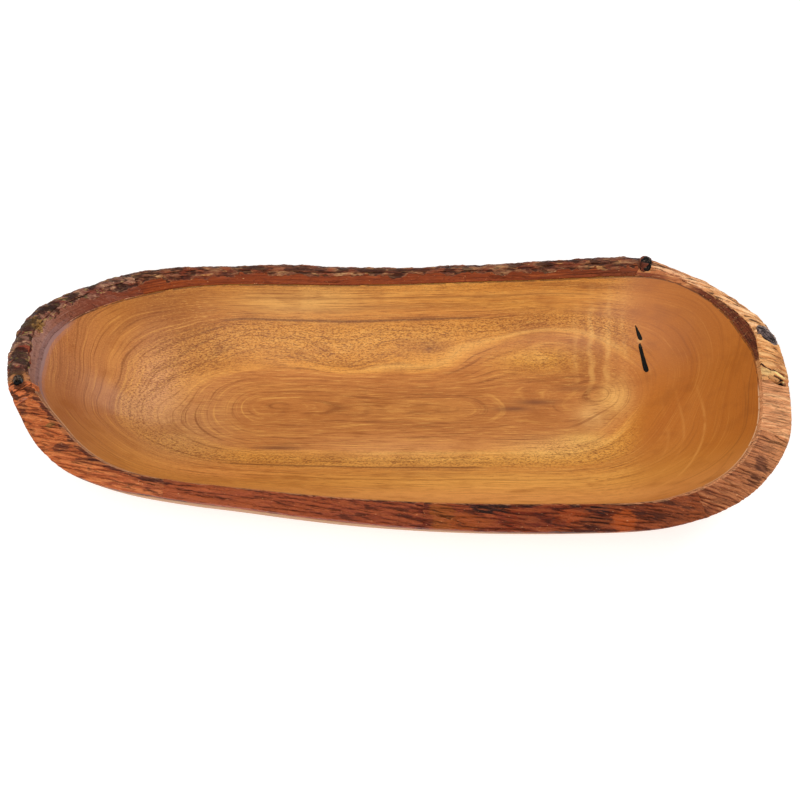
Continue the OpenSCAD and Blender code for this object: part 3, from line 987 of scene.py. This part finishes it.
def blotted(s, colour, blots, patchy, streaks, wander):
    """Ragged spots of another tone, at their places."""
    warp_x = s.x + (patchy - 0.5) * 14.0
    warp_y = s.y + (streaks - 0.5) * 4.0 + (wander - 0.5) * 8.0
    for x, y, length, width, code, share in blots:
        spot = s.bell((warp_x - x) / length, (warp_y - y) / width) + (streaks - 0.5) * 0.9
        colour = s.mix(colour, tone(code), s.step(spot, 0.28, 0.55) * share)
    return colour


def dashed(s, colour, dashes):
    """Short straight marks, each turned to its own angle."""
    for x, y, half, wide, angle, code in dashes:
        along = (s.x - x) * math.cos(angle) + (s.y - y) * math.sin(angle)
        aside = (s.y - y) * math.cos(angle) - (s.x - x) * math.sin(angle)
        bar = s.step(along.math("ABSOLUTE"), half, half - 1.2) * s.bell(aside / wide)
        colour = s.mix(colour, tone(code), s.step(bar, 0.25, 0.55))
    return colour


def bark_finish(name, grain, tones, dark, light, blots=(), dashes=(), length=10.0, width=0.8,
                contrast=0.7, cracks=0.8, tint=(0.97, 0.80, 0.66, 1), bend=0.0, crevice_shade=0.8,
                roughness=0.45, height=1.1, extra=None):
    """A finish whose streaks run along this grain. Length and width are a streak's, bend turns
    the fibres at the right end, and extra adds what only one stretch of bark has."""
    s = Shade(name)
    lift = s.attribute("lift")
    along, across, out = (s.toward(axis) for axis in grain)
    wander = s.noise(s.stretched(16, 9), detail=2.0)
    beyond = (s.x - 160.0).math("MAXIMUM", 0.0)
    across = across + (wander - 0.5) * 4.0 + beyond * beyond * bend
    streaks = s.noise(s.joined(along / length, across / width, out / (width * 4)), detail=4.0,
                      roughness=0.7)
    fine = s.noise(s.joined(along / 3.5, across / 0.5, out / 2.0), detail=2.0, roughness=0.6)
    patchy = s.noise(s.joined(along / 13.0, across / 4.5, out / 9.0), detail=3.0)
    seams = s.noise(s.joined(along / (length * 2.2), across / CRACK_GAP, out / (CRACK_GAP * 4)),
                    detail=3.0, roughness=0.6)
    crack = s.step(seams, 0.62, 0.66)
    colour = s.ramp(s.x, -ENDS, ENDS, tones)
    colour = s.vary(colour, patchy, (dark, 0.52, 0.70, contrast * 0.5),
                    (light, 0.48, 0.30, contrast * 0.5))
    colour = s.vary(colour, streaks, (dark, 0.53, 0.68, contrast), (light, 0.47, 0.32, contrast))
    colour = blotted(s, colour, blots, patchy, streaks, wander)
    if extra:
        colour = extra(s, colour, streaks, patchy)
    # Painted highlight: the crests that the relief pushed out are made lighter.
    colour = s.mix(colour, tone(light), s.step(lift, 0.25, 1.2) * 0.5)
    colour = s.mix(colour, tone(dark), s.step(fine, 0.54, 0.68) * 0.5)
    # A painted highlight along each crack's edge, then the crack itself: a dark gap, partly painted
    # shade.
    colour = s.mix(colour, tone(light), s.bell((seams - 0.59) / 0.016) * cracks * 0.6)
    colour = s.mix(colour, tone("34160c"), crack * cracks)
    # Pale flecks: partly dust, and partly painted glints on the ridges.
    flecks_and_glints = s.noise(s.stretched(1.5, 0.9), detail=1.0)
    colour = s.mix(colour, tone("f0cfa8"), s.step(flecks_and_glints, 0.73, 0.78) * contrast)
    colour = s.mix(colour, tint, 1.0, blend="MULTIPLY")
    # Painted shade: the crevices that the relief pushed in are made darker.
    colour = s.mix(colour, tone("26100a"), s.step(lift, -0.30, -1.0) * crevice_shade)
    colour = dashed(s, colour, dashes)
    relief = streaks + fine * 0.6 - crack * 0.8
    return s.finish(colour, roughness, bump=relief, height=height, gloss=0.15)


# %% [markdown]
# ## Crust and layers
#
# At the rear and round the left end the hollow cuts through thick bark, so its layers show as
# lines along the rim, and the dead outer crust lies over them with a ragged edge. The crust goes
# from black through rust to the straw and moss of lichen.

# %% Crust
CRUST_TONES = [
    (0.32, "22130f"), (0.41, "4a2a26"), (0.48, "6e443a"), (0.56, "906a58"), (0.66, "c8a888")]
CRUST_BLOTS = [  # x, y, length, width, tone
    (-264, 12, 7, 3, "140e0a"), (-262, 24, 8, 3, "7c3018"), (-262, 33, 8, 3, "2a2012"),
    (-258, 47, 9, 5, "8a6c38"), (-250, 60, 12, 3, "2c1c14"), (-175, 101, 12, 4, "c49a70"),
    (-150, 103, 14, 4, "6c382a"), (-95, 106, 14, 3, "c0946a"), (-55, 108, 20, 3, "4a2a20")]


def crust_over(s, colour, streaks, patchy):
    """Dead outer bark over the inner bark, from black to the straw of lichen."""
    left = s.step(-s.x, 150.0, 235.0)
    mixed = streaks * 0.6 + patchy * 0.4
    crust = s.ramp(mixed, 0.2, 0.8, CRUST_TONES)
    rust = s.noise(s.stretched(16, 5), detail=2.0)
    crust = s.mix(crust, tone("7c3a28"), s.step(rust, 0.50, 0.60) * 0.6)
    moss = s.noise(s.stretched(6, 2.2), detail=3.0)
    crust = s.mix(crust, tone("968a52"), s.step(moss, 0.58, 0.64) * left * 0.8)
    straw = s.noise(s.stretched(16, 2.2), detail=4.0, roughness=0.65)
    crust = s.mix(crust, tone("c79c70"), s.step(straw, 0.60, 0.65) * 0.75)
    for x, y, length, width, code in CRUST_BLOTS:
        spot = s.oval(x, y, length, width) + (streaks - 0.5) * 1.2
        crust = s.mix(crust, tone(code), s.step(spot, 0.35, 0.6) * 0.85)
    foot = s.step(-s.y, -7.0, -2.0) * left
    foot_tone = s.mix(tone("b07a4a"), tone("6e4028"), s.step(streaks, 0.50, 0.62))
    crust = s.mix(crust, foot_tone, foot * 0.8)
    cover = s.attribute("crust")
    colour = s.mix(colour, crust, s.step(cover, 0.2, 0.6))
    border = s.bell((cover - 0.45) / 0.22)
    colour = s.mix(colour, tone("2c130c"), border * s.step(patchy, 0.48, 0.58) * 0.8)
    pale = border * s.step(streaks, 0.48, 0.42) * (0.25 + 0.45 * left)
    return s.mix(colour, tone("d0a07a"), pale)


# %% Layers
def rear_look(s, colour, streaks, patchy):
    """Layers that follow the rim, and the crust's ragged edge over them."""
    depth = s.attribute("depth")
    layer = s.noise(s.joined(s.x / 45.0, depth / 1.1, 0.0), detail=3.0, roughness=0.6)
    colour = s.vary(colour, layer, ("54261a", 0.50, 0.64, 0.7), ("a45c34", 0.46, 0.32, 0.7))
    orange = s.step(-s.x, 118.0, 135.0) * s.step(-s.x, 200.0, 180.0) * s.step(depth, 5.5, 4.5)
    colour = s.mix(colour, tone("9c5020"), orange * s.step(layer, 0.58, 0.42) * 0.35)
    split = s.step(s.x, 118.0, 126.0) * s.bell((depth + (patchy - 0.5) * 1.5 - 3.0) / 0.35)
    colour = s.mix(colour, tone("3a1a10"), split * 0.8)
    colour = s.mix(colour, tone("32140d"), s.step(depth, 0.9, 0.2) * 0.85)
    return crust_over(s, colour, streaks, patchy)


def left_look(s, colour, streaks, patchy):
    """Grey and purple layers at the bowl's end, and orange bark at the foot of them."""
    depth = s.attribute("depth")
    grey = s.step(-s.x, 230.0, 246.0)
    layer = s.noise(s.joined(s.x / 30.0, depth / 1.0, s.y / 30.0), detail=3.0, roughness=0.6)
    colour = s.vary(colour, layer, ("5a2f22", 0.48, 0.62, (1 - grey * 0.6) * 0.6),
                    ("b69a90", 0.46, 0.32, grey * 0.5))
    purple = s.step(depth, 3.4, 2.6) * s.step(depth, 0.5, 1.0) * grey
    colour = s.mix(colour, tone("7a6468"), purple * 0.55)
    colour = s.mix(colour, tone("dcae92"), s.step(depth, 0.7, 0.2) * 0.7)
    colour = crust_over(s, colour, streaks, patchy)
    foot = s.step(-s.y, 2.5, 4.0) * s.step(-s.x, 250.0, 252.0)
    return s.mix(colour, s.mix(tone("c87444"), tone("8a4526"), s.step(streaks, 0.46, 0.58)), foot)


# %% [markdown]
# ## The crest, and a dark sliver
#
# From the front, the bark's crest hides the face that the hollow has cut, so what marks the edge
# there is a broken dark band along the crest, and a painted highlight where the cut begins. At the
# right end most of the inner bark is pale, but a dark sliver of it lies beside the grey knot.

# %% Crest and sliver
def front_look(s, colour, streaks, patchy):
    """A dark, broken band along the crest, and a painted highlight where the hollow has cut it."""
    crest = s.attribute("crest")
    left = s.step(-s.x, 120.0, 175.0)
    right = s.step(s.x, 120.0, 190.0)
    wide = 0.8 + 2.6 * left - 0.8 * right
    band = s.step(crest + (patchy - 0.5) * 9.0 - wide, 0.6, -0.4)
    colour = s.mix(colour, tone("40201f"), band * 0.85)
    whole = (left + right) * 0.08
    highlight_breaks = s.step(streaks, 0.55 + whole, 0.48 + whole)
    # The pale line along the cut is a painted highlight, broken up along the streaks.
    pale = s.step(crest - 0.4 * right, 0.9, 0.5)
    return s.mix(colour, tone("f6c49a"), pale * highlight_breaks * (0.40 + 0.25 * right))


def sliver_look(s, colour, streaks, patchy):
    """Pale bark, but for a dark sliver of inner bark beside the knot, and a red streak."""
    depth = s.attribute("depth")
    stray = patchy - 0.5
    sliver = s.step(s.x + stray * 16.0, 214.0, 222.0) * s.step(s.y + stray * 14.0, 15.0, 19.0)
    layer = s.noise(s.joined(s.x / 20.0, depth / 1.0, s.y / 20.0), detail=3.0, roughness=0.6)
    brown = s.mix(tone("74402c"), tone("45221a"), s.step(layer, 0.46, 0.62))
    colour = s.mix(colour, brown, sliver)
    streak = s.step(depth + (streaks - 0.5) * 2.0, 3.4, 2.6) * s.step(-s.x, -202.0, -192.0)
    return s.mix(colour, tone("7d3f2c"), streak * 0.85)


# %% Where the bark's marks are
FRONT_BLOTS = [  # x, y, length, width, tone, share
    (33, -109, 9, 12, "9a5f24", 0.7), (21, -109, 6, 9, "5a2018", 0.7),
    (66, -105, 16, 3.2, "1c1413", 0.95), (52, -113, 15, 5, "98531f", 0.7),
    (97, -113, 12, 5, "5c2116", 0.6), (122, -110, 9, 5, "a35026", 0.7),
    (142, -104.8, 9, 2.4, "1d161c", 0.9), (140, -114, 12, 4.6, "3a1e17", 0.8),
    (124, -118.5, 15, 2.6, "3a1812", 0.7), (158, -113, 9, 6, "b45c22", 0.8)]
LEFT_BLOTS = [
    (-232, -55, 8, 3.0, "4e2a22", 0.8), (-215, -66, 9, 3, "4e2a22", 0.7),
    (-262, -24, 3, 9, "5a3026", 0.75), (-256, -45, 3, 8, "5a3026", 0.6),
    (-240, -38, 4, 3, "7e7a44", 0.5)]
CORNER_BLOTS = [
    (256, -71, 5, 8, "54302a", 0.7), (250, -82, 5, 5, "4c241c", 0.6),
    (176, -104, 12, 3, "6c3a24", 0.5)]
# The second dash is a painted shadow line under a plate of bark; the fourth is the split's hole,
# painted black as shade.
NOTCH_DASHES = [  # x, y, half length, half width, angle, tone
    (261.5, 5.6, 8.5, 2.8, -0.45, "e6b878"), (262.5, 9.0, 9.5, 0.45, -0.62, "4a2416"),
    (272.0, 3.6, 5.5, 0.5, -0.55, "5a2e18"), (271.5, -0.6, 5.0, 1.15, -0.50, "140a07"),
    (272.6, 1.6, 5.0, 0.6, -0.57, "f6d98c")]

# %% The stretches' finishes
finishes = {
    "rear_inner_bark": bark_finish(
        "cut_bark", grains["rear_inner_bark"], CUT_TONES, "5a2a1c", "a35a3e", length=20,
        contrast=0.5, cracks=0.2, crevice_shade=0.7, roughness=0.5, height=0.5,
        tint=(1.08, 0.90, 0.62, 1), extra=rear_look),
    "left_inner_bark": bark_finish(
        "grey_cut_bark", grains["left_inner_bark"], CUT_TONES, "5a342c", "9c7264", length=6,
        contrast=0.45, cracks=0.3, height=0.5, tint=(1.20, 1.07, 0.96, 1), extra=left_look),
    "left_front_bark": bark_finish(
        "orange_bark", grains["left_front_bark"], FRONT_TONES, "6c2e1a", "e0935a", length=12,
        cracks=0.5, crevice_shade=0.45, tint=(1.0, 0.82, 0.70, 1), blots=LEFT_BLOTS, extra=front_look),
    "front_bark": bark_finish(
        "front_bark", grains["front_left_bark"], FRONT_TONES, "4a1e16", "a86038", length=11,
        contrast=0.6, cracks=0.5, crevice_shade=0.6, bend=1 / 240, tint=(0.97, 0.72, 0.54, 1),
        blots=FRONT_BLOTS, extra=front_look),
    "right_front_bark": bark_finish(
        "ridged_bark", grains["right_front_bark"], RIDGE_TONES, "5c2e1c", "d09a70", length=45,
        width=0.9, cracks=0.3, crevice_shade=0.45, tint=(0.97, 0.72, 0.54, 1), blots=CORNER_BLOTS,
        extra=front_look),
    "right_inner_bark": bark_finish(
        "sliver_bark", grains["right_inner_bark"], PALE_TONES, "8a5434", "ecc08a", length=26,
        width=1.2, cracks=0.5, extra=sliver_look),
    "right_end_bark": bark_finish(
        "pink_bark", grains["right_end_bark"], END_TONES, "8c5638", "f2c69c", length=50,
        width=0.9, contrast=0.6, cracks=0.4, crevice_shade=0.4, tint=(1.30, 1.14, 0.92, 1),
        dashes=NOTCH_DASHES),
    "right_side_bark": bark_finish(
        "tan_bark", grains["right_side_bark"], PALE_TONES, "84482a", "f8d49c", length=24,
        width=1.7, contrast=0.85, cracks=0.5, tint=(1.16, 0.97, 0.80, 1), dashes=NOTCH_DASHES),
    "right_rear_bark": bark_finish(
        "pale_bark", grains["right_rear_bark"], PALE_TONES, "7c3c2a", "f8cfa4", length=20,
        width=1.9, contrast=0.9, cracks=0.5, tint=(1.24, 1.16, 1.05, 1)),
}
finishes["front_left_bark"] = finishes["front_right_bark"] = finishes["front_bark"]
finishes["rear_crust"] = finishes["rear_inner_bark"]
finishes["left_crust"] = finishes["left_inner_bark"]
for node, piece in stretches.items():
    paint(piece, finishes[node])
print(len(set(finishes.values())), "finishes on", len(stretches), "stretches of bark")

# %% [markdown]
# ## Finishes of the knots
#
# A dead knot's fibres swirl round its centre, so its noise is read in rings instead of along a
# grain. Each knot has its centre, the way it is turned, and its two half widths. A crack runs
# through it, and a dark seam parts it from the bark.

# %% Dead wood
KNOT_CRACK = tone("180e0b")


def knot_finish(name, centre, angle, length, width, dark, middle, light, extra=None):
    """Dead wood that swirls round the knot's centre. Extra adds what only one knot has."""
    s = Shade(name)
    dx = s.x - centre[0]
    dy = s.y - centre[1]
    along = (dx * math.cos(angle) + dy * math.sin(angle)) / length
    aside = (dy * math.cos(angle) - dx * math.sin(angle)) / width
    wobble = s.noise(s.stretched(4, 4), detail=2.0)
    ring = (along * along + aside * aside).math("SQRT") + (wobble - 0.5) * 0.45
    swirl = s.noise(s.joined(ring * 3.5, along * 1.2, aside * 1.2), detail=3.0)
    grain = s.noise(s.stretched(1.2, 0.8), detail=3.0)
    colour = s.vary(tone(middle), swirl, (dark, 0.52, 0.62, 0.6), (light, 0.46, 0.36, 0.9))
    colour = s.mix(colour, tone(dark), s.step(grain, 0.54, 0.66) * 0.6)
    colour = s.mix(colour, tone(light), s.bell((ring - 0.86) / 0.12) * 0.6)
    colour = s.mix(colour, KNOT_CRACK, s.bell((ring - 0.62) / 0.08) * s.step(wobble, 0.44, 0.50))
    colour = s.mix(colour, KNOT_CRACK, s.bell((aside - 0.12) / 0.07, along / 0.5) * 0.8)
    if extra:
        colour = extra(s, colour)
    # Painted shade in the dents that the relief pressed in.
    colour = s.mix(colour, tone("160c09"), s.step(s.attribute("lift"), -0.6, -1.3) * 0.9)
    return s.finish(colour, 0.6, bump=swirl + grain * 0.5, height=0.8, gloss=0.15)


# %% The three knots' finishes
def rotted(s, colour):
    """A grey, weathered spot beside a rotted hole, whose shade is painted black."""
    lens = s.oval(-262.0, -4.2, 2.6, 1.8)
    painted_hole = s.oval(-266.4, -5.0, 3.6, 2.2)
    colour = s.mix(colour, tone("4e5456"), s.step(lens, 0.35, 0.6) * 0.8)
    return s.mix(colour, tone("0c0a0a"), s.step(painted_hole, 0.35, 0.55))


def collared(s, colour):
    """The black collar, with painted grey-brown highlights."""
    collar_glints = s.noise(s.stretched(1.6, 1.6), detail=3.0)
    bar = s.mix(tone("0c0806"), tone("86705e"), s.step(collar_glints, 0.57, 0.66) * 0.7)
    return s.mix(colour, bar, s.step(s.attribute("collar"), 0.2, 0.7))


paint(right_knot, knot_finish("grey_knot", (265.4, 36.2), math.radians(-43), 12.0, 5.0,
                              "241a1b", "6c5a57", "b09a90"))
paint(left_knot, knot_finish("rotted_knot", (-265.6, -4.2), math.radians(-10), 4.4, 3.2,
                             "1e1a18", "4a3e38", "6e5846", extra=rotted))
paint(rear_knot, knot_finish("collared_knot", (182.4, 100.0), 0.0, 6.0, 6.0,
                             "4a241a", "6e3a2a", "93583f", extra=collared))

# %% [markdown]
# ## Floor, light and camera
#
# A bowl that stands on a pale sweep and is lit from all round casts only a faint shadow. So the
# floor gives off a little light of its own, the world lights everything evenly, and two round
# softboxes give the hollow its shape: a small one behind on the right, and a large one in front.
# The camera looks down from the front, and stands far off so that the near rim isn't swollen.

# %% The floor and the even light
FLOOR_SIZE = 12.0
FLOOR_TONE, FLOOR_GLOW = (0.72, 0.72, 0.72, 1), 0.50
WORLD_LIGHT = 0.45

bpy.ops.object.select_all(action="DESELECT")
bpy.ops.mesh.primitive_plane_add(size=FLOOR_SIZE, location=(0, 0, 0))
floor = bpy.context.active_object
floor.name = "floor"
s = Shade("floor_paint")
paint(floor, s.finish(FLOOR_TONE, 0.9, glow=FLOOR_GLOW))

bpy.context.scene.view_settings.view_transform = "Standard"
world = bpy.data.worlds.new("studio")
bpy.context.scene.world = world
world.use_nodes = True
world.node_tree.nodes["Background"].inputs["Color"].default_value = (1, 1, 1, 1)
world.node_tree.nodes["Background"].inputs["Strength"].default_value = WORLD_LIGHT

# %% Softboxes
LIGHT_DISTANCE = 2.2


def aim(thing, direction, target, distance):
    """Puts a light or a camera at this distance, looking back at the target."""
    bpy.context.scene.collection.objects.link(thing)
    back = Vector(direction).normalized()
    thing.location = target + back * distance
    thing.rotation_mode = "QUATERNION"
    thing.rotation_quaternion = back.to_track_quat("Z", "Y")


def softbox(name, direction, size, power):
    """A round soft light that looks at the bowl from this direction."""
    light = bpy.data.lights.new(name, "AREA")
    light.shape = "DISK"
    light.size = size
    light.energy = power
    aim(bpy.data.objects.new(name, light), direction, Vector(), LIGHT_DISTANCE)


softbox("key", (0.56, 0.48, 0.66), size=1.0, power=16)
softbox("front", (-0.25, -0.65, 0.72), size=1.8, power=34)

# %% The camera
ELEVATION = math.radians(56)
TARGET = Vector((4, 0, 62)) * MM
CAMERA_DISTANCE = 2.2
SENSOR = 36.0  # mm
FRAME_WIDTH, FOCAL_LENGTH = 800.0, 3085.6  # both in pixels of the photograph's frame

view = bpy.data.cameras.new("camera")
view.sensor_width = SENSOR
view.lens = SENSOR * FOCAL_LENGTH / FRAME_WIDTH
camera = bpy.data.objects.new("camera", view)
aim(camera, (0, -math.cos(ELEVATION), math.sin(ELEVATION)), TARGET, CAMERA_DISTANCE)
bpy.context.scene.camera = camera
print("lens:", round(view.lens, 1), "mm")
